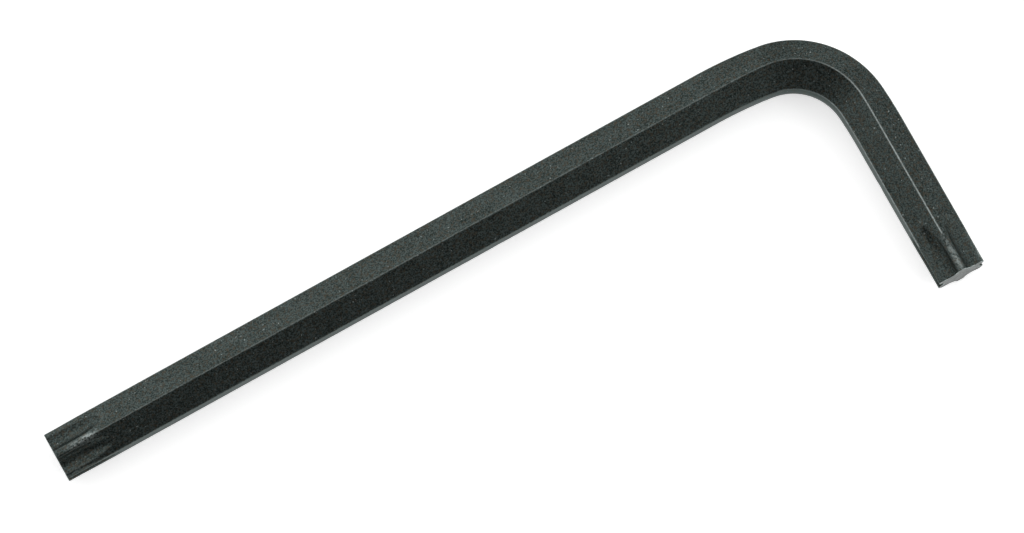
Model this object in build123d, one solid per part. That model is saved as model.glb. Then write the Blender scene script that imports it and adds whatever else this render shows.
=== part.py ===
"""Star-drive key: one length of hexagonal steel bar, bent to an L, with a six-lobe tip on both arms.

Frame, in millimetres: +X runs along the long arm, +Y along the short arm and +Z is up.
The key lies flat with one corner edge of the bar down and one up.
The origin is the bottom centre of its bounding box.
"""
from build123d import *
import os
from math import acos, cos, degrees, radians, sin, tan

# ---- the bar ----
across_flats = 3.5        # hexagon, flat to flat
edge_radius = 0.12        # drawn round on the six corner edges

# ---- the two arms, each measured from the outer flat of the other arm to its tip ----
long_arm = 63.0
short_arm = 21.2

# ---- the bend, on the bar's centre line: a main arc with a slow arc at each side ----
bend_radius = 5.7
slow_radius = 30.0
slow_turn_long = 9.0      # degrees turned by the slow arc on the long arm's side
slow_turn_short = 5.0     # the same on the short arm's side

# ---- the six-lobe drive on both tips ----
across_lobes = 3.86
across_valleys = 2.77
lobe_radius = 0.32
crest_lift = 0.09         # the lobe arcs stand this far outside the turned crests, so that a
                          # strip of the bar's flat is left beside each flute
flute_length = 1.5        # flute at its full depth, from the tip
wheel_radius = 10.0       # wheel that the flutes run out on
turned_long = 1.1         # crests turned to size, from the long arm's tip
turned_short = 1.9        # the same on the short arm
taper_long = 2.4          # degrees, the slope that the turning then leaves the corners by
taper_short = 3.7         # the same on the short arm

# ---- the sheared end of the short arm, which isn't quite square ----
end_lean = 3.0            # degrees, the lower side is the longer one
end_skew = 1.5            # degrees, the outer side is the longer one

# ---- how far the cutting tools stand clear of the bar ----
tool_clearance = 0.5

sides = 6
flat_distance = across_flats / 2
corner_distance = flat_distance / cos(radians(30))
crest_distance = across_lobes / 2
valley_distance = across_valleys / 2


def arc_steps(turns):
    """How far a chain of (radius, degrees) arcs travels, from heading -Y round to heading +X."""
    heading = -90.0
    travel_x = 0.0
    travel_y = 0.0
    for radius, turn in turns:
        start = radians(heading)
        end = radians(heading + turn)
        travel_x += radius * (sin(end) - sin(start))
        travel_y -= radius * (cos(end) - cos(start))
        heading += turn
    return travel_x, travel_y


def centre_line(short_extra):
    """The bar's centre line, from the short arm's tip round the bend to the long arm's tip."""
    main_turn = 90.0 - slow_turn_short - slow_turn_long
    turns = [
        (slow_radius, slow_turn_short),
        (bend_radius, main_turn),
        (slow_radius, slow_turn_long),
    ]
    travel_x, travel_y = arc_steps(turns)
    short_tip = (0, short_arm - flat_distance + short_extra, 0)
    line = Curve() + Line(short_tip, (0, -travel_y, 0))
    for radius, turn in turns:
        line += JernArc(line @ 1, line % 1, radius, turn)
    line += Line((travel_x, 0, 0), (long_arm - flat_distance, 0, 0))
    return line


def bent_bar():
    """The hexagonal bar swept round the bend, with the short arm left long for its slanted end."""
    line = centre_line(tool_clearance)
    hexagon = RegularPolygon(flat_distance, sides, major_radius=False)
    hexagon = fillet(hexagon.vertices(), edge_radius)
    section = Plane(line @ 0, x_dir=(0, 0, 1), z_dir=line % 0) * hexagon
    return sweep(section, path=line)


def flute_outline():
    """What one flute removes, seen along the arm: a valley arc between the flanks of two lobes."""
    lobe_centre = crest_distance + crest_lift - lobe_radius
    half_pitch = radians(30)
    valley_radius = (
        lobe_radius**2
        - valley_distance**2
        - lobe_centre**2
        + 2 * lobe_centre * valley_distance * cos(half_pitch)
    ) / (2 * (valley_distance - lobe_centre * cos(half_pitch) - lobe_radius))
    lobe = Vector(lobe_centre * cos(half_pitch), lobe_centre * sin(half_pitch))
    valley = Vector(valley_distance + valley_radius, 0)
    across = (valley - lobe).normalized()
    tangent = lobe + across * lobe_radius
    along = Vector(cos(half_pitch), sin(half_pitch))
    crest = along * (crest_distance + crest_lift)
    flank = lobe + (across + along).normalized() * lobe_radius
    outside = along * (corner_distance + tool_clearance)

    def mirrored(point):
        return Vector(point.X, -point.Y)

    return make_face(
        Curve()
        + ThreePointArc(crest, flank, tangent)
        + ThreePointArc(tangent, Vector(valley_distance, 0), mirrored(tangent))
        + ThreePointArc(mirrored(tangent), mirrored(flank), mirrored(crest))
        + Line(mirrored(crest), mirrored(outside))
        + Line(mirrored(outside), outside)
        + Line(outside, crest)
    )


def flute_cutter():
    """One flute: straight in from the tip, then out of the flat round the wheel."""
    outline = flute_outline()
    straight = extrude(outline, flute_length + tool_clearance, dir=(0, 0, 1))
    straight = Pos(0, 0, -flute_length) * straight
    wheel_centre = valley_distance + wheel_radius
    climb = corner_distance + tool_clearance - valley_distance
    run_out = degrees(acos(1 - climb / wheel_radius))
    wheel_axis = Axis((wheel_centre, 0, -flute_length), (0, -1, 0))
    wheel = revolve(Pos(0, 0, -flute_length) * outline, wheel_axis, run_out)
    return straight + wheel


def corner_turning(turned_length, taper):
    """The ring that turning takes off the corners: to the crest size, then out at a slope."""
    outside = corner_distance + tool_clearance
    taper_end = turned_length + (outside - crest_distance) / tan(radians(taper))
    section = make_face(
        Polyline(
            (crest_distance, 0, tool_clearance),
            (crest_distance, 0, -turned_length),
            (outside, 0, -taper_end),
            (outside, 0, tool_clearance),
            close=True,
        )
    )
    return revolve(section, Axis.Z)


def star_tip_tools(turned_length, taper):
    """All that is cut from one tip, whose end is at the local origin with +Z pointing outwards."""
    tools = [corner_turning(turned_length, taper)]
    flute = flute_cutter()
    for number in range(sides):
        tools.append(Rot(0, 0, 30 + 60 * number) * flute)
    return tools


def short_end_cut():
    """The stock beyond the short arm's slanted end face."""
    lean = tan(radians(end_lean))
    skew = tan(radians(end_skew))
    end_plane = Plane((0, short_arm - flat_distance, 0), x_dir=(1, 0, 0), z_dir=(skew, 1, lean))
    width = 4 * corner_distance
    return end_plane * Box(width, width, width, align=(Align.CENTER, Align.CENTER, Align.MIN))


def star_key():
    """The whole key, moved so that its bounding box stands on the origin."""
    key = bent_bar()
    long_tip = Plane((long_arm - flat_distance, 0, 0), x_dir=(0, 0, 1), z_dir=(1, 0, 0))
    short_tip = Plane((0, short_arm - flat_distance, 0), x_dir=(0, 0, 1), z_dir=(0, 1, 0))
    for tool in star_tip_tools(turned_long, taper_long):
        key -= long_tip * tool
    for tool in star_tip_tools(turned_short, taper_short):
        key -= short_tip * tool
    key -= short_end_cut()
    box = key.bounding_box()
    foot = Vector(box.center().X, box.center().Y, box.min.Z)
    return Pos(-foot) * key


key = star_key()
os.makedirs("parts", exist_ok=True)
export_step(key, "parts/star_key.step")

box = key.bounding_box()
print("star_key: %d solid, volume %.1f mm3, mass %.2f g" % (len(key.solids()), key.volume, key.volume * 0.00785))
print("box x %.3f..%.3f  y %.3f..%.3f  z %.3f..%.3f"
      % (box.min.X, box.max.X, box.min.Y, box.max.Y, box.min.Z, box.max.Z))
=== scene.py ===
# %% [markdown]
# # A star-drive key, from bar stock to black finish
#
# The real key is one length of hexagonal steel bar. It is cropped, bent to an L, turned down at
# its corners and fluted at both ends, then blackened in a hot oxide bath. Nothing is fitted to it.
#
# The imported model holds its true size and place, so it is loaded first. Everything below is worked
# out in the same frame: +X along the long arm, +Y along the short arm, +Z up, in metres.

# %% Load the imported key
from math import cos, pi, radians, sin, tan

import bpy
import numpy as np
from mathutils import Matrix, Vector, noise
from mathutils.bvhtree import BVHTree


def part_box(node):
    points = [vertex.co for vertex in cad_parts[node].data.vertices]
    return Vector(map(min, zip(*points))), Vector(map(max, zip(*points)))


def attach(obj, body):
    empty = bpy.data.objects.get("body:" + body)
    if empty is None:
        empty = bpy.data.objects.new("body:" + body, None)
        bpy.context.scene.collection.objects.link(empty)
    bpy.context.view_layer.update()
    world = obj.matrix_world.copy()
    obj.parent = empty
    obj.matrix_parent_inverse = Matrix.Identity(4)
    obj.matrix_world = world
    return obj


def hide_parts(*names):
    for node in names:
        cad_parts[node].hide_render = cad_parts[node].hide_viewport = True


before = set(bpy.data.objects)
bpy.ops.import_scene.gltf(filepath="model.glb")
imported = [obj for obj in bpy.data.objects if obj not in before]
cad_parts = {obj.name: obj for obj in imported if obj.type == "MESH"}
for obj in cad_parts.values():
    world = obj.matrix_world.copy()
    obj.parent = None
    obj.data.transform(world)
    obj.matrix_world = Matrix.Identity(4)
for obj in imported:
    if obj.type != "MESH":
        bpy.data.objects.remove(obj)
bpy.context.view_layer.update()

low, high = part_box("star_key")
print("packed key: %.2f x %.2f x %.2f mm" % tuple(1000 * side for side in high - low))

# %% [markdown]
# ## The sizes a toolmaker would ask for
#
# A key is ordered by its bar, its two arms, its bend and its drive size, so those are the driving
# values here. The arms' axes are not typed in: they lie half a bar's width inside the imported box,
# which ties this skin to the solid that it covers.

# %% Bar, arms and bend
mm = 0.001
across_flats = 3.5 * mm
flat_distance = across_flats / 2
corner_round = 0.12 * mm
long_arm = 63.0 * mm
short_arm = 21.2 * mm
bend_radius = 5.7 * mm
slow_radius = 30.0 * mm
slow_turn_short = radians(5)
slow_turn_long = radians(9)

short_axis_x = low.x + flat_distance
long_axis_y = low.y + flat_distance
axis_z = (low.z + high.z) / 2
print("arms' axes cross at %.2f, %.2f, %.2f mm" % (short_axis_x / mm, long_axis_y / mm, axis_z / mm))

# %% [markdown]
# ## The bend, as one line through the middle of the bar
#
# A bar bent round a former doesn't follow one clean arc. It springs back a little and leaves the
# former slowly, so each side of the tight arc has a short stretch of much larger radius. The line
# below starts at the short arm's tip and walks to the long arm's tip: straight, slow, tight, slow,
# straight. A curve object could hold it, but a function gives the exact heading at every ring.

# %% Walk the middle line
turns = [
    (slow_radius, slow_turn_short),
    (bend_radius, radians(90) - slow_turn_short - slow_turn_long),
    (slow_radius, slow_turn_long),
]


def travel(radius, start, end):
    """The step that an arc makes while its heading turns from start to end."""
    return np.array([radius * (sin(end) - sin(start)), -radius * (cos(end) - cos(start))])


heading = radians(-90)
bend_travel = np.zeros(2)
for radius, turn in turns:
    bend_travel += travel(radius, heading, heading + turn)
    heading += turn

short_straight = short_arm - flat_distance + bend_travel[1]
long_straight = long_arm - flat_distance - bend_travel[0]
bend_length = sum(radius * turn for radius, turn in turns)
bar_length = short_straight + bend_length + long_straight


def middle_line(along):
    """The point and the heading at a distance along the bar from the short arm's tip."""
    at = np.array([short_axis_x, long_axis_y + short_arm - flat_distance])
    angle = radians(-90)
    step = min(along, short_straight)
    at = at + step * np.array([cos(angle), sin(angle)])
    left = along - short_straight
    for arc_radius, arc_turn in turns:
        if left <= 0:
            return at, angle
        part = min(left / arc_radius, arc_turn)
        at = at + travel(arc_radius, angle, angle + part)
        angle += part
        left -= arc_radius * arc_turn
    if left > 0:
        at = at + left * np.array([cos(angle), sin(angle)])
    return at, angle


print("bar before bending: %.1f mm, of which %.1f mm in the bend" % (bar_length / mm, bend_length / mm))

# %% [markdown]
# ## Where the rings go
#
# The skin is a stack of rings, like slices of the bar. Flutes change quickly, so the rings are
# close together near both tips. A bend needs a ring every few degrees. The plain straights only
# need enough rings to carry small dents in the corners.

# %% Choose the ring stations
tip_zone = 5.2 * mm
tip_step = 0.055 * mm
bend_step = 0.2 * mm
plain_step = 0.5 * mm
end_round = 0.045 * mm


def spaced(start, end, step):
    """Even stations from start up to, but not including, end."""
    return np.linspace(start, end, max(2, round((end - start) / step)), endpoint=False)


bend_start = short_straight
bend_end = short_straight + bend_length
stations = np.concatenate([
    spaced(end_round, tip_zone, tip_step),
    spaced(tip_zone, bend_start, plain_step),
    spaced(bend_start, bend_end, bend_step),
    spaced(bend_end, bar_length - tip_zone, plain_step),
    spaced(bar_length - tip_zone, bar_length - end_round, tip_step),
    [bar_length - end_round],
])
print("%d rings along the bar" % len(stations))

# %% [markdown]
# ## How each ring is divided
#
# The six corners of the bar are only lightly rounded, so most of the detail in a ring is near its
# corners. Each flat is divided finely towards its two corners and more coarsely in its middle. The
# same division is used on every ring, so the faces run in straight rows along the bar.

# %% Divide one flat, then copy it round
sides = 6
half_pitch = radians(30)
per_half = 18
crowding = 1.5
share = 1 - (1 - np.linspace(0, 1, per_half + 1)) ** crowding
half_angles = np.arctan(tan(half_pitch) * share)
flat_angles = np.concatenate([-half_angles[::-1], half_angles[1:-1]])
around = np.concatenate([half_pitch + 2 * half_pitch * side + flat_angles for side in range(sides)])
from_flat = np.abs((around % (2 * half_pitch)) - half_pitch)
print("%d points in a ring" % len(around))

# %% [markdown]
# ## The cross-section, as distances to each surface
#
# Three operations made the section: drawing made the hexagon, turning took the corners down near
# the tips, and a grinding wheel cut the six flutes. For each one a function says how deep a point
# lies inside its surface. The steel is where all three depths are positive. Since the section
# repeats every 60 degrees and mirrors about each flat, the sums are done in one half of one flat:
# x runs out to the flat and y runs along it, towards the corner.

# %% Depth inside the drawn hexagon
def hexagon_depth(x, y, rounding):
    """How deep a point lies inside the flats, with the corner rounded."""
    centre_x = flat_distance - rounding
    centre_y = centre_x * tan(half_pitch)
    past_corner = y > centre_y
    to_corner = rounding - np.hypot(x - centre_x, y - centre_y)
    return np.where(past_corner, to_corner, flat_distance - x)


# %% Depth inside the turned corners
crest_distance = 3.86 * mm / 2
turned = {"short": (1.9 * mm, radians(3.7)), "long": (1.1 * mm, radians(2.4))}


def turned_depth(radius, from_tip, tip):
    """How deep a point lies inside the turned crests, which taper out to the bar's corners."""
    length, taper = turned[tip]
    limit = crest_distance + np.maximum(0, from_tip - length) * tan(taper)
    return limit - radius


# %% [markdown]
# ## The flutes
#
# A six-lobe tip is six rounded valleys between six lobes. The wheel that grinds a valley has the
# valley's own profile on its rim. It runs straight in from the tip for a short way and then leaves
# through the flat on a large radius, which gives the long rounded run-out. Working backwards from
# a point to where it lay on the wheel's rim keeps that exact shape, with no cutting of meshes.

# %% Depth outside the ground flutes
valley_distance = 2.77 * mm / 2
lobe_radius = 0.32 * mm
crest_lift = 0.09 * mm
flute_length = 1.5 * mm
wheel_radius = 10.0 * mm

lobe_reach = crest_distance + crest_lift - lobe_radius
lobe_x = lobe_reach * cos(half_pitch)
lobe_y = lobe_reach * sin(half_pitch)
valley_radius = (
    lobe_radius ** 2 - valley_distance ** 2 - lobe_reach ** 2 + 2 * lobe_x * valley_distance
) / (2 * (valley_distance - lobe_x - lobe_radius))
valley_x = valley_distance + valley_radius
wheel_x = valley_distance + wheel_radius


def flute_depth(x, y, from_tip):
    """How deep a point lies in the steel that the wheel leaves."""
    past = np.maximum(0, from_tip - flute_length)
    on_wheel_x = wheel_x - np.hypot(wheel_x - x, past)
    beside_valley = np.hypot(on_wheel_x - valley_x, y) - valley_radius
    inside_lobe = lobe_radius - np.hypot(on_wheel_x - lobe_x, y - lobe_y)
    in_valley = (lobe_x - valley_x) * y - lobe_y * (on_wheel_x - valley_x) > 0
    return np.where(in_valley, beside_valley, inside_lobe)


run_out = flute_length + (wheel_radius ** 2 - (wheel_x - flat_distance) ** 2) ** 0.5
print("valley radius %.2f mm, flutes run out %.2f mm from the tip" % (valley_radius / mm, run_out / mm))

# %% [markdown]
# ## Wear on the corners
#
# The corners of a used key are not ruled lines. Their rounding drifts along the bar, and they carry
# small nicks from other tools in the same drawer. The rounding gets a slow noise, and the nicks are
# a few shallow dents with seeded places, so that the same key comes out on every run.

# %% Vary the corner rounding and place the nicks
rounding_change = 0.22
rounding_wave = 1.7 * mm
nick_count = 34
nick_depth = (0.012 * mm, 0.035 * mm)
nick_half_length = (0.06 * mm, 0.2 * mm)
nick_half_angle = radians(2.6)
nick_reach = 3              # half lengths from its middle, where a nick has faded out
nick_clear_of_tips = 3 * mm
nick_off_corner = radians(1.2)
chance = np.random.default_rng(20)
nicks = [
    {
        "at": chance.uniform(nick_clear_of_tips, bar_length - nick_clear_of_tips),
        "corner": radians(60) * chance.integers(0, sides) + chance.normal(0, nick_off_corner),
        "depth": chance.uniform(*nick_depth),
        "half_length": chance.uniform(*nick_half_length),
    }
    for _ in range(nick_count)
]


def slow_noise(along, corner, wave):
    """A smooth value from about -1 to 1 that drifts along one corner of the bar."""
    return noise.noise(Vector((along / wave, 7.3 * corner, 1.9)))


nearest_corner = np.round(around / (2 * half_pitch)).astype(int) % sides


def rounding_along(along):
    """The corner rounding for every point of the ring at a distance along the bar."""
    by_corner = [slow_noise(along, corner, rounding_wave) for corner in range(sides)]
    return corner_round * (1 + rounding_change * np.array(by_corner)[nearest_corner])


def nick_cut(along):
    """How much the nicks take off each point of the ring at a distance along the bar."""
    cut = np.zeros(len(around))
    for nick in nicks:
        lengthwise = (along - nick["at"]) / nick["half_length"]
        if abs(lengthwise) < nick_reach:
            sideways = (around - nick["corner"] + pi) % (2 * pi) - pi
            hollow = np.exp(-(lengthwise ** 2) - (sideways / nick_half_angle) ** 2)
            cut += nick["depth"] * hollow
    return cut


# %% [markdown]
# ## Solving for the skin
#
# Along each ray of a ring, the skin is where the least of the three depths reaches zero. A smooth
# least is used, which rounds the rims of the flutes by a few hundredths of a millimetre, as
# grinding and tumbling do. Halving the gap twenty times finds the radius to well under a micron.

# %% Find the radius along every ray
rim_round = 0.02 * mm
search_from = 0.6 * flat_distance
search_to = 1.3 * flat_distance
halvings = 20


def smooth_least(a, b, width):
    """The lesser of two depths, blended where they are nearly alike."""
    blend = np.maximum(0, width - np.abs(a - b)) / width
    return np.minimum(a, b) - blend ** 2 * width / 4


def depths(radius, from_tip, tip, rounding):
    """The three depths of a point at this radius on every ray."""
    x = radius * np.cos(from_flat)
    y = radius * np.sin(from_flat)
    return (
        hexagon_depth(x, y, rounding),
        turned_depth(radius, from_tip, tip),
        flute_depth(x, y, from_tip),
    )


def skin_radius(from_tip, tip, rounding):
    """The radius of the skin on every ray of a ring."""
    inner = np.full(len(around), search_from)
    outer = np.full(len(around), search_to)
    for _ in range(halvings):
        middle = (inner + outer) / 2
        drawn, lathe, ground = depths(middle, from_tip, tip, rounding)
        depth = smooth_least(smooth_least(drawn, lathe, rim_round), ground, rim_round)
        inner = np.where(depth > 0, middle, inner)
        outer = np.where(depth > 0, outer, middle)
    return (inner + outer) / 2


# %% [markdown]
# ## The two end faces
#
# The long arm's end is square. The short arm's end was cropped, and it leans and skews a little:
# its lower and outer sides are longer. Rings near that end are tilted to match, and the tilt fades
# out along the flutes. The flutes themselves stay true to the arm, so each ring is solved again
# at the place that the tilt gives it.

# %% Tilt the rings towards the cropped end
end_lean = tan(radians(3.0))
end_skew = tan(radians(1.5))
tilt_rounds = 3


def end_tilt(sideways, upward, from_tip):
    """How much further from the tip a point lies, because the cropped end is tilted."""
    fade = np.clip(1 - from_tip / tip_zone, 0, 1)
    return (end_skew * sideways + end_lean * upward) * fade


def ring_points(along):
    """The radius of every point in a ring, how far the tilt moves it, and its three depths."""
    tip = "short" if along < bar_length / 2 else "long"
    from_tip = along if tip == "short" else bar_length - along
    rounding = rounding_along(along)
    place = np.full(len(around), from_tip)
    for _ in range(tilt_rounds):
        radius = skin_radius(place, tip, rounding)
        if tip == "short":
            place = from_tip + end_tilt(radius * np.sin(around), radius * np.cos(around), from_tip)
    return radius - nick_cut(along), place - from_tip, depths(radius, place, tip, rounding)


# %% [markdown]
# ## Marks that the finish needs
#
# Oxide wears first where the steel stands proud. While the rings are solved it is known which two
# surfaces meet at each point, so the edges can be marked there and then, and stored with the mesh.
# The mark is partly worn steel and partly a painted highlight along the ridge lines: the short arm's
# corners get it fully, the long arm's hardly at all, and the rims of the flutes least. A second mark
# holds the place along and round the bar, which the finish uses for the faint lines that drawing
# leaves.
#
# Bending also moves steel inside the section. Round the bend the top and bottom corners are drawn
# towards the outside of the L by about a third of a millimetre, while both sides stay where they
# are. That leaves the outer top flat narrower there and the inner one wider.

# %% Solve every ring and mark its edges
# Strength of the edge mark: worn steel on corners and flute rims, and a painted highlight along the
# ridge lines.
edge_width = 0.04 * mm
corner_width = 0.05 * mm
flute_rim_highlight_and_wear = 0.05
long_arm_highlight_and_wear = 0.22
corner_mark_fades_at = bend_start + 0.32 * bend_length
corner_mark_fade_length = 4 * mm


def corner_wear_and_highlight(along):
    """How strongly the corners get worn steel and a painted highlight: fully on the short arm, little
    past the bend's first third.
    """
    past = np.clip((along - corner_mark_fades_at) / corner_mark_fade_length + 0.5, 0, 1)
    return 1 - (1 - long_arm_highlight_and_wear) * past


def edge_mark(drawn, lathe, ground, radius, along):
    """1 on a convex edge that gets worn steel and a painted highlight, falling to 0 a little way from
    it.
    """
    ordered = np.sort(np.stack([drawn, lathe, ground]), axis=0)
    rim = flute_rim_highlight_and_wear * np.exp(-((ordered[1] - ordered[0]) / edge_width) ** 2)
    corner_gap = flat_distance * tan(half_pitch) - radius * np.sin(from_flat)
    on_corner = np.exp(-(corner_gap / corner_width) ** 2) * (drawn <= ordered[0])
    return np.maximum(rim, corner_wear_and_highlight(along) * on_corner)


corner_drift = 0.33 * mm


def drift_along(along):
    """How far bending has drawn the top and bottom corners towards the outside of the L."""
    through = np.clip((along - bend_start) / bend_length, 0, 1)
    return corner_drift * sin(pi * through) ** 2


def to_world(along, radius, shift):
    """Ring points in the shared frame: sideways is towards the inside of the L."""
    at, angle = middle_line(along)
    ahead = np.array([cos(angle), sin(angle)])
    inward = np.array([-sin(angle), cos(angle)])
    sideways = radius * np.sin(around) - drift_along(along) * np.cos(around) ** 2
    flat = at + sideways[:, None] * inward + shift[:, None] * ahead
    return np.column_stack([flat, axis_z + radius * np.cos(around)])


rings = []
edges = []
places = []
for along in stations:
    radius, shift, found = ring_points(along)
    rings.append(to_world(along, radius, shift))
    edges.append(edge_mark(*found, radius, along))
    places.append(np.column_stack([np.full(len(around), along), around * flat_distance]))
print("skin rings solved: %d points" % (len(rings) * len(around)))

# %% [markdown]
# ## Closing the ends
#
# Each end is closed by more rings. The first few roll over the rim on a tiny radius, because no
# cropped or ground edge is perfectly sharp, and the rest shrink across the face to its centre. The
# faces are where the bar was parted, so they get a shallow relief: torn on the cropped short arm,
# and finer on the long one.

# %% Roll over the rim and cross each end face
rim_steps = 4
face_steps = 16
relief_depth = {"short": 0.030 * mm, "long": 0.010 * mm}
relief_wave = {"short": 0.35 * mm, "long": 0.16 * mm}
finer = 3.1                 # how much closer the fine roughness is than the coarse


def end_relief(sideways, upward, tip):
    """The depth of the parted face below its plane, in two sizes of roughness."""
    wave = relief_wave[tip]
    coarse = noise.noise(Vector((sideways / wave, upward / wave, 4.2)))
    fine = noise.noise(Vector((finer * sideways / wave, finer * upward / wave, 8.7)))
    return relief_depth[tip] * (0.5 + 0.5 * coarse + 0.25 * fine)


def end_rings(tip):
    """Rings from the rim of an end to the middle of its face, outermost first."""
    end_along = 0.0 if tip == "short" else bar_length
    into_bar = 1.0 if tip == "short" else -1.0
    at_rim = end_along + into_bar * end_round
    side_radius, _, _ = ring_points(at_rim)
    made = []
    for step in range(1, rim_steps + face_steps):
        turn = radians(90) * min(step / rim_steps, 1)
        reach = 1 - max(0, step - rim_steps) / face_steps
        radius = (side_radius - end_round * (1 - cos(turn))) * reach
        sideways = radius * np.sin(around)
        upward = radius * np.cos(around)
        depth = np.full(len(around), end_round * (1 - sin(turn)))
        if tip == "short":
            depth += end_tilt(sideways, upward, 0.0)
        if step > rim_steps:
            depth += [end_relief(side, up, tip) for side, up in zip(sideways, upward)]
        made.append((to_world(end_along, radius, into_bar * depth), step))
    return made


short_end = end_rings("short")
long_end = end_rings("long")
print("each end face is crossed by %d rings" % len(short_end))

# %% [markdown]
# ## One closed mesh
#
# All the rings are joined into a single closed skin: short end, bar, long end. The key is one
# piece of steel, so it stays one object, and only its faces differ in finish. The parted ends are
# bare metal and get the second material.

# %% Join the rings
count = len(around)
all_rings = [points for points, _ in reversed(short_end)] + rings + [points for points, _ in long_end]
first_side = len(short_end)
last_side = first_side + len(rings) - 1
centres = [all_rings[0].mean(axis=0), all_rings[-1].mean(axis=0)]
points = np.concatenate(all_rings + [np.array(centres)])
short_centre = len(points) - 2
long_centre = len(points) - 1

faces = []
finishes = []
for ring in range(len(all_rings) - 1):
    on_end = ring < first_side - rim_steps or ring >= last_side + rim_steps
    for place in range(count):
        after = (place + 1) % count
        here = ring * count
        beyond = here + count
        faces.append((here + place, beyond + place, beyond + after, here + after))
        finishes.append(1 if on_end else 0)
last_ring = (len(all_rings) - 1) * count
for place in range(count):
    after = (place + 1) % count
    faces.append((short_centre, place, after))
    faces.append((long_centre, last_ring + after, last_ring + place))
    finishes += [1, 1]

mesh = bpy.data.meshes.new("star_key_skin")
mesh.from_pydata(points.tolist(), [], faces)
mesh.polygons.foreach_set("material_index", finishes)
mesh.polygons.foreach_set("use_smooth", [True] * len(faces))
mesh.update()
mesh.validate()
star_key = bpy.data.objects.new("star_key_skin", mesh)
bpy.context.scene.collection.objects.link(star_key)
triangles = sum(len(face) - 2 for face in faces)
print("skin: %d points, %d triangles" % (len(points), triangles))

# %% [markdown]
# ## Carrying the marks on the mesh
#
# The marks become attributes of the mesh: how near each point is to an edge that gets worn steel and
# a painted highlight, and where it lies along and round the bar. Scuffs are placed where a key rubs
# against the screw: on the crests of the tips, and where the turned taper begins.

# %% Store edges, places and scuffs
scuffs = [
    # tip, distance from the tip, corner (0 is the top one), half length, half angle, strength
    ("long", 2.6 * mm, 0, 0.55 * mm, radians(6), 1.0),
    ("long", 1.5 * mm, 0, 0.5 * mm, radians(5), 0.55),
    ("short", 0.9 * mm, 0, 1.9 * mm, radians(6), 0.45),
    ("short", 0.6 * mm, 5, 0.5 * mm, radians(6), 0.4),
    ("long", 1.0 * mm, 3, 0.9 * mm, radians(6), 0.6),
    ("short", 1.2 * mm, 2, 0.9 * mm, radians(6), 0.6),
]


def scuff_mark(along):
    """How strongly each point of a ring is scuffed."""
    mark = np.zeros(count)
    for tip, distance, corner, half_length, half_angle, strength in scuffs:
        scuff_at = distance if tip == "short" else bar_length - distance
        lengthwise = (along - scuff_at) / half_length
        sideways = (around - radians(60) * corner + pi) % (2 * pi) - pi
        mark += strength * np.exp(-(lengthwise ** 2) - (sideways / half_angle) ** 2)
    return np.clip(mark, 0, 1)


rim_mark = [np.full(count, 1.0 if step <= rim_steps else 0.0) for _, step in short_end]
end_place = {"short": 0.0, "long": bar_length}


def face_places(tip):
    """Places along and round the bar for the rings of an end face."""
    return np.column_stack([np.full(count, end_place[tip]), around * flat_distance])


edge_values = np.concatenate(rim_mark[::-1] + edges + rim_mark + [np.zeros(2)])
scuff_values = np.concatenate(
    [scuff_mark(0.0)] * len(short_end)
    + [scuff_mark(along) for along in stations]
    + [scuff_mark(bar_length)] * len(long_end)
    + [np.zeros(2)]
)
place_values = np.concatenate(
    [face_places("short")] * len(short_end)
    + places
    + [face_places("long")] * len(long_end)
    + [np.zeros((2, 2))]
)


def store(name, kind, field, values):
    """A named attribute on the points of the skin."""
    attribute = mesh.attributes.new(name, kind, "POINT")
    attribute.data.foreach_set(field, np.ascontiguousarray(values, dtype=np.float32).ravel())


# The edge mark: worn steel, and a painted highlight along the ridge lines.
store("edge_wear_and_highlight", "FLOAT", "value", edge_values)
store("scuffs", "FLOAT", "value", scuff_values)
store("bar_place", "FLOAT_VECTOR", "vector", np.column_stack([place_values, np.zeros(len(points))]))
print("worn edges cover %.0f%% of the points" % (100 * np.mean(edge_values > 0.5)))

# %% [markdown]
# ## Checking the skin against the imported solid
#
# The skin must not change the key's size. One point in seven is compared with the nearest place on
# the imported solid. The solid's corners don't drift round the bend, so some stray is expected there.

# %% Measure how far the skin strays
check_every = 7
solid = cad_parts["star_key"]
packed_surface = BVHTree.FromPolygons(
    [vertex.co for vertex in solid.data.vertices],
    [polygon.vertices for polygon in solid.data.polygons],
)
strays = np.array([packed_surface.find_nearest(Vector(point))[3] for point in points[::check_every]])
print("skin strays %.3f mm at most, %.4f mm on average" % (strays.max() / mm, strays.mean() / mm))

# %% [markdown]
# ## A small kit for materials
#
# Each finish below is a node tree, and a few helpers keep them readable. One adds a node and sets
# its values, one makes a noise of a given size, and one maps a value from one range to another. The
# rest do a step of arithmetic, mix two colours and start an empty material. Sizes of patterns are
# given in millimetres, as they would be judged with a loupe.

# %% Helpers for node trees
def add(tree, kind, inputs=None, **settings):
    """A node with its settings made and its inputs set or linked."""
    node = tree.nodes.new(kind)
    for name, value in settings.items():
        setattr(node, name, value)
    for name, value in (inputs or {}).items():
        socket = node.inputs[name]
        if isinstance(value, bpy.types.NodeSocket):
            tree.links.new(value, socket)
        else:
            socket.default_value = value
    return node


def pattern(tree, place, size, detail=2.0, roughness=0.5):
    """A noise from 0 to 1 whose features are about this size."""
    inputs = {"Vector": place, "Scale": 1 / size, "Detail": detail, "Roughness": roughness}
    return add(tree, "ShaderNodeTexNoise", inputs).outputs["Fac"]


def remap(tree, value, low_in, high_in, low_out, high_out):
    """value moved from one range to another, and held inside it."""
    inputs = {
        "Value": value,
        "From Min": low_in,
        "From Max": high_in,
        "To Min": low_out,
        "To Max": high_out,
    }
    return add(tree, "ShaderNodeMapRange", inputs).outputs["Result"]


def combine(tree, operation, a, b):
    """One step of arithmetic on two values."""
    node = add(tree, "ShaderNodeMath", operation=operation)
    for socket, value in zip(node.inputs, (a, b)):
        if isinstance(value, bpy.types.NodeSocket):
            tree.links.new(value, socket)
        else:
            socket.default_value = value
    return node.outputs["Value"]


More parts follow.
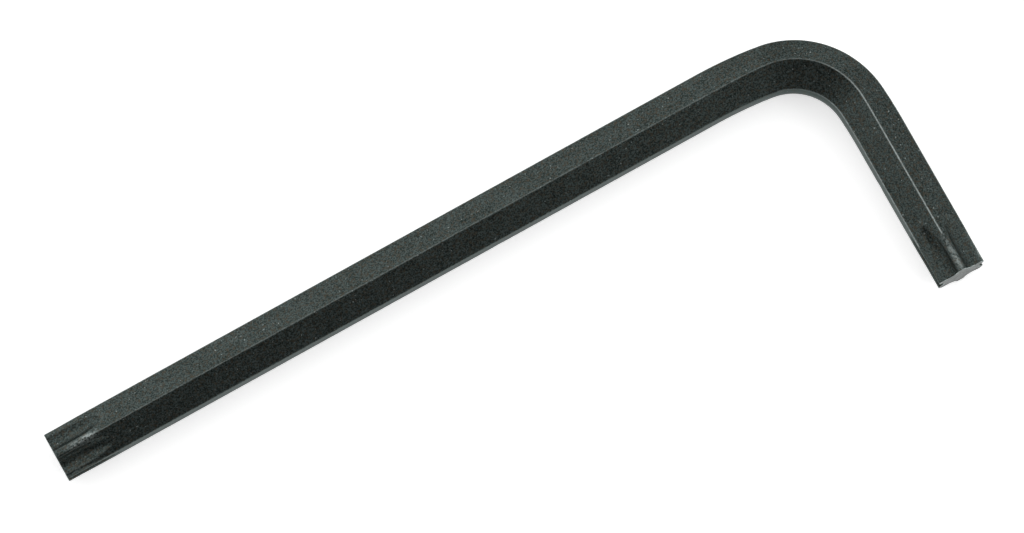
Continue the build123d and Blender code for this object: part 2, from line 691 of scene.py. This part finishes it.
def tint(tree, factor, a, b):
    """A colour between a and b."""
    node = add(tree, "ShaderNodeMix", data_type="RGBA")
    for socket, value in zip((node.inputs[0], node.inputs[6], node.inputs[7]), (factor, a, b)):
        if isinstance(value, bpy.types.NodeSocket):
            tree.links.new(value, socket)
        else:
            socket.default_value = value
    return node.outputs[2]


def new_finish(name):
    """An empty material with its output, ready for a shader."""
    material = bpy.data.materials.new(name)
    material.use_nodes = True
    tree = material.node_tree
    tree.nodes.clear()
    output = tree.nodes.new("ShaderNodeOutputMaterial")
    return material, tree, output


# %% [markdown]
# ## Black oxide on drawn steel
#
# Black oxide is a converted layer a micron thick: it doesn't hide the steel's surface, it darkens
# it. What shows is a satin, slightly green-grey black with a fine grain from pickling, soft clouds
# where the bath took unevenly, brown specks, a few pale flecks, and faint lines along the bar from
# the drawing die. On the marked corners the grey of the steel comes through in broken patches, partly
# as wear and partly as a painted highlight along the ridge lines. Oxide soaks up light at grazing
# angles, where plain metal would flare white, so the shader's tint for those angles is set to a mid
# grey.

# %% Make the black oxide
oxide_dark = (0.009, 0.014, 0.012, 1)
oxide_light = (0.082, 0.104, 0.100, 1)
oxide_brown = (0.062, 0.050, 0.034, 1)
# Worn steel where the oxide is rubbed through, also used as a painted highlight on the corners.
worn_steel_and_highlight = (0.42, 0.47, 0.46, 1)
grazing_tint = (0.5, 0.56, 0.55, 1)
grain_size = 0.11 * mm
cloud_size = 1.6 * mm
line_width = 0.10 * mm
line_shrink = 0.012         # of the place along the bar, which draws the noise out into lines
line_height = 0.5           # of the grain's height
brown_size = 0.19 * mm
patch_size = 0.22 * mm
fleck_size = 0.17 * mm
worn_smoother = 0.12        # off the roughness, where the steel is bare
bump_depth = 0.012 * mm
metal_share = 0.85


def make_black_oxide():
    """The satin black finish of the bar, flutes and bend."""
    material, tree, output = new_finish("black_oxide_satin")
    at = add(tree, "ShaderNodeTexCoord").outputs["Object"]
    bar_place = add(tree, "ShaderNodeAttribute", attribute_name="bar_place").outputs["Vector"]
    edge = add(tree, "ShaderNodeAttribute", attribute_name="edge_wear_and_highlight").outputs["Fac"]
    scuff = add(tree, "ShaderNodeAttribute", attribute_name="scuffs").outputs["Fac"]

    grain = pattern(tree, at, grain_size, detail=2, roughness=0.6)
    clouds = pattern(tree, at, cloud_size, detail=5, roughness=0.6)
    stretched = add(tree, "ShaderNodeMapping", {"Vector": bar_place, "Scale": (line_shrink, 1, 1)})
    lines = pattern(tree, stretched.outputs["Vector"], line_width, detail=3, roughness=0.6)

    light = remap(tree, grain, 0.42, 0.58, 0, 0.76)
    light = combine(tree, "ADD", light, remap(tree, clouds, 0.3, 0.7, 0, 0.2))
    light = combine(tree, "ADD", light, remap(tree, lines, 0.3, 0.7, 0, 0.08))
    oxide = tint(tree, light, oxide_dark, oxide_light)
    brown = pattern(tree, at, brown_size, detail=3, roughness=0.7)
    oxide = tint(tree, remap(tree, brown, 0.50, 0.64, 0, 0.8), oxide, oxide_brown)

    patches = pattern(tree, at, patch_size, detail=4, roughness=0.7)
    # Edge mark: worn steel breaking through, and a painted highlight along the ridge lines.
    rubbed_and_highlit_edges = combine(tree, "MULTIPLY", edge, remap(tree, patches, 0.36, 0.58, 0.5, 1.0))
    rubbed = combine(tree, "MULTIPLY", scuff, remap(tree, patches, 0.40, 0.55, 0, 1))
    wear_plus_highlight = combine(tree, "MAXIMUM", rubbed_and_highlit_edges, rubbed)
    flecks = pattern(tree, at, fleck_size, detail=1, roughness=0.4)
    wear_plus_highlight = combine(tree, "MAXIMUM", wear_plus_highlight, remap(tree, flecks, 0.73, 0.79, 0, 0.6))
    colour = tint(tree, wear_plus_highlight, oxide, worn_steel_and_highlight)

    rough = remap(tree, grain, 0.36, 0.64, 0.34, 0.48)
    rough = combine(tree, "SUBTRACT", rough, combine(tree, "MULTIPLY", wear_plus_highlight, worn_smoother))
    height = combine(tree, "ADD", grain, combine(tree, "MULTIPLY", lines, line_height))
    bump = add(tree, "ShaderNodeBump", {"Height": height, "Strength": 0.7, "Distance": bump_depth})
    shader = add(tree, "ShaderNodeBsdfPrincipled", {
        "Base Color": colour,
        "Metallic": metal_share,
        "Specular Tint": grazing_tint,
        "Roughness": rough,
        "Normal": bump.outputs["Normal"],
    })
    tree.links.new(shader.outputs["BSDF"], output.inputs["Surface"])
    return material


black_oxide = make_black_oxide()
print("made", black_oxide.name)

# %% [markdown]
# ## Parted steel
#
# The ends are parted after blackening, so they are bare. A cropped face is part sheared smooth and
# part torn, which scatters light broadly: it looks pale and granular beside the black.

# %% Make the bare end faces
bare_steel = (0.15, 0.165, 0.16, 1)
torn_steel = (0.08, 0.09, 0.085, 1)
parted_grain = 0.08 * mm
torn_size = 0.45 * mm


def make_parted_steel():
    """The bare, torn steel of the two end faces."""
    material, tree, output = new_finish("parted_steel")
    at = add(tree, "ShaderNodeTexCoord").outputs["Object"]
    grain = pattern(tree, at, parted_grain, detail=4, roughness=0.7)
    torn = pattern(tree, at, torn_size, detail=3, roughness=0.6)
    colour = tint(tree, remap(tree, torn, 0.4, 0.62, 0, 0.8), bare_steel, torn_steel)
    rough = remap(tree, grain, 0.3, 0.7, 0.38, 0.62)
    bump = add(tree, "ShaderNodeBump", {"Height": grain, "Strength": 0.8, "Distance": bump_depth})
    shader = add(tree, "ShaderNodeBsdfPrincipled", {
        "Base Color": colour,
        "Metallic": metal_share,
        "Roughness": rough,
        "Normal": bump.outputs["Normal"],
    })
    tree.links.new(shader.outputs["BSDF"], output.inputs["Surface"])
    return material


parted_steel = make_parted_steel()
mesh.materials.append(black_oxide)
mesh.materials.append(parted_steel)
print("made", parted_steel.name)

# %% [markdown]
# ## Joining the shared frame
#
# The skin rides on the key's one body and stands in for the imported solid, which stays in place for
# weight and contact but isn't shown.

# %% Tie the skin to the key
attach(star_key, "root")
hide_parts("star_key")
print("star_key_skin stands for star_key")

# %% [markdown]
# ## The camera
#
# A long lens from almost straight above shows the key with hardly any perspective. It is tilted 8
# degrees towards the inside of the L, so the upright faces there just show as a thin strip. The
# turn about the view axis lays the long arm from lower left to upper right.

# %% Place the camera
lens_mm = 232
view_tilt = radians(7.905)
view_lean = radians(-0.320)
view_turn = radians(150.802)
view_distance = 460.1 * mm
view_centre = Vector((-2.67 * mm, -5.23 * mm, axis_z))

camera_data = bpy.data.cameras.new("bench_camera")
camera_data.lens = lens_mm
camera_data.sensor_width = 36
camera_data.clip_start = 0.01
camera_data.clip_end = 20
camera = bpy.data.objects.new("bench_camera", camera_data)
camera.rotation_euler = (view_tilt, view_lean, view_turn)
camera.location = view_centre + view_distance * (camera.rotation_euler.to_matrix() @ Vector((0, 0, 1)))
bpy.context.scene.collection.objects.link(camera)
bpy.context.scene.camera = camera
bpy.context.scene.view_settings.view_transform = "Standard"
print("camera %.0f mm above the bench" % (camera.location.z / mm))

# %% [markdown]
# ## A white bench
#
# The key lies on plain white paper, which is matt and takes its soft shadow. A share of the white
# is added only where the camera, or a reflection, sees it, so that it reads as clean white without
# pouring more light on the key.

# %% Lay the floor
floor_width = 6.0
floor_colour = (0.82, 0.82, 0.82, 1)
floor_glow = 0.6


def make_white_paper():
    """Matt white paper with a little glow for camera and reflections."""
    material, tree, output = new_finish("white_paper")
    paper = add(tree, "ShaderNodeBsdfDiffuse", {"Color": floor_colour})
    ray = add(tree, "ShaderNodeLightPath")
    seen = combine(tree, "MAXIMUM", ray.outputs["Is Camera Ray"], ray.outputs["Is Glossy Ray"])
    seen = combine(tree, "MAXIMUM", seen, ray.outputs["Is Transmission Ray"])
    glow = add(tree, "ShaderNodeEmission", {"Strength": combine(tree, "MULTIPLY", seen, floor_glow)})
    both = add(tree, "ShaderNodeAddShader")
    tree.links.new(paper.outputs["BSDF"], both.inputs[0])
    tree.links.new(glow.outputs["Emission"], both.inputs[1])
    tree.links.new(both.outputs["Shader"], output.inputs["Surface"])
    return material


half_floor = floor_width / 2
floor_mesh = bpy.data.meshes.new("white_floor")
corners = [(x * half_floor, y * half_floor, 0) for x, y in ((-1, -1), (1, -1), (1, 1), (-1, 1))]
floor_mesh.from_pydata(corners, [], [(0, 1, 2, 3)])
floor_mesh.materials.append(make_white_paper())
floor = bpy.data.objects.new("white_floor", floor_mesh)
bpy.context.scene.collection.objects.link(floor)
print("white floor, %.0f m across" % floor_width)

# %% [markdown]
# ## Soft studio light
#
# A dark satin bar shows its form by what its flats reflect, so the softboxes stand round it. A
# strong one outside the long arm lights its outer flat, and weaker ones follow round the corner and
# the bend and beside the short arm. A broad box overhead fills the flutes. Inside the L there is
# only a small lamp near the bend, so that flat is the darkest and fades towards the tip.

# %% Hang the lamps
key_centre = Vector((0, 0, axis_z))


def softbox(name, toward, distance, size, watts):
    """A square lamp in a direction from the key, facing it."""
    lamp = bpy.data.lights.new(name, "AREA")
    lamp.shape = "SQUARE"
    lamp.size = size
    lamp.energy = watts
    holder = bpy.data.objects.new(name, lamp)
    direction = Vector(toward).normalized()
    holder.location = key_centre + distance * direction
    holder.rotation_euler = direction.to_track_quat("Z", "Y").to_euler()
    bpy.context.scene.collection.objects.link(holder)


softbox("outer_softbox", (0.15, -1.0, 0.5), 1.0, 0.9, 3.4)
softbox("bend_softbox", (-1.0, 0.1, 0.55), 1.0, 0.8, 1.5)
softbox("short_arm_softbox", (1.0, -0.4, 0.75), 1.0, 0.7, 2.1)
softbox("corner_softbox", (-0.8, -0.7, 0.5), 1.0, 0.6, 1.6)
softbox("inner_softbox", (-0.75, 0.7, 0.65), 0.25, 0.12, 0.16)
softbox("top_softbox", (-0.1, -0.15, 1.0), 1.2, 1.2, 4.8)

world = bpy.data.worlds.new("white_room")
world.use_nodes = True
sky = world.node_tree
sky.nodes.clear()
sky_output = sky.nodes.new("ShaderNodeOutputWorld")
sky_ray = add(sky, "ShaderNodeLightPath")
room_level = 0.09
sky_level = remap(sky, sky_ray.outputs["Is Camera Ray"], 0, 1, room_level, 1)
room = add(sky, "ShaderNodeBackground", {"Color": (1, 1, 1, 1), "Strength": sky_level})
sky.links.new(room.outputs["Background"], sky_output.inputs["Surface"])
bpy.context.scene.world = world
print("softboxes hung, room at %.0f%% of white" % (100 * room_level))

# %% [markdown]
# ## Finish

# %% Finish
print("build finished")
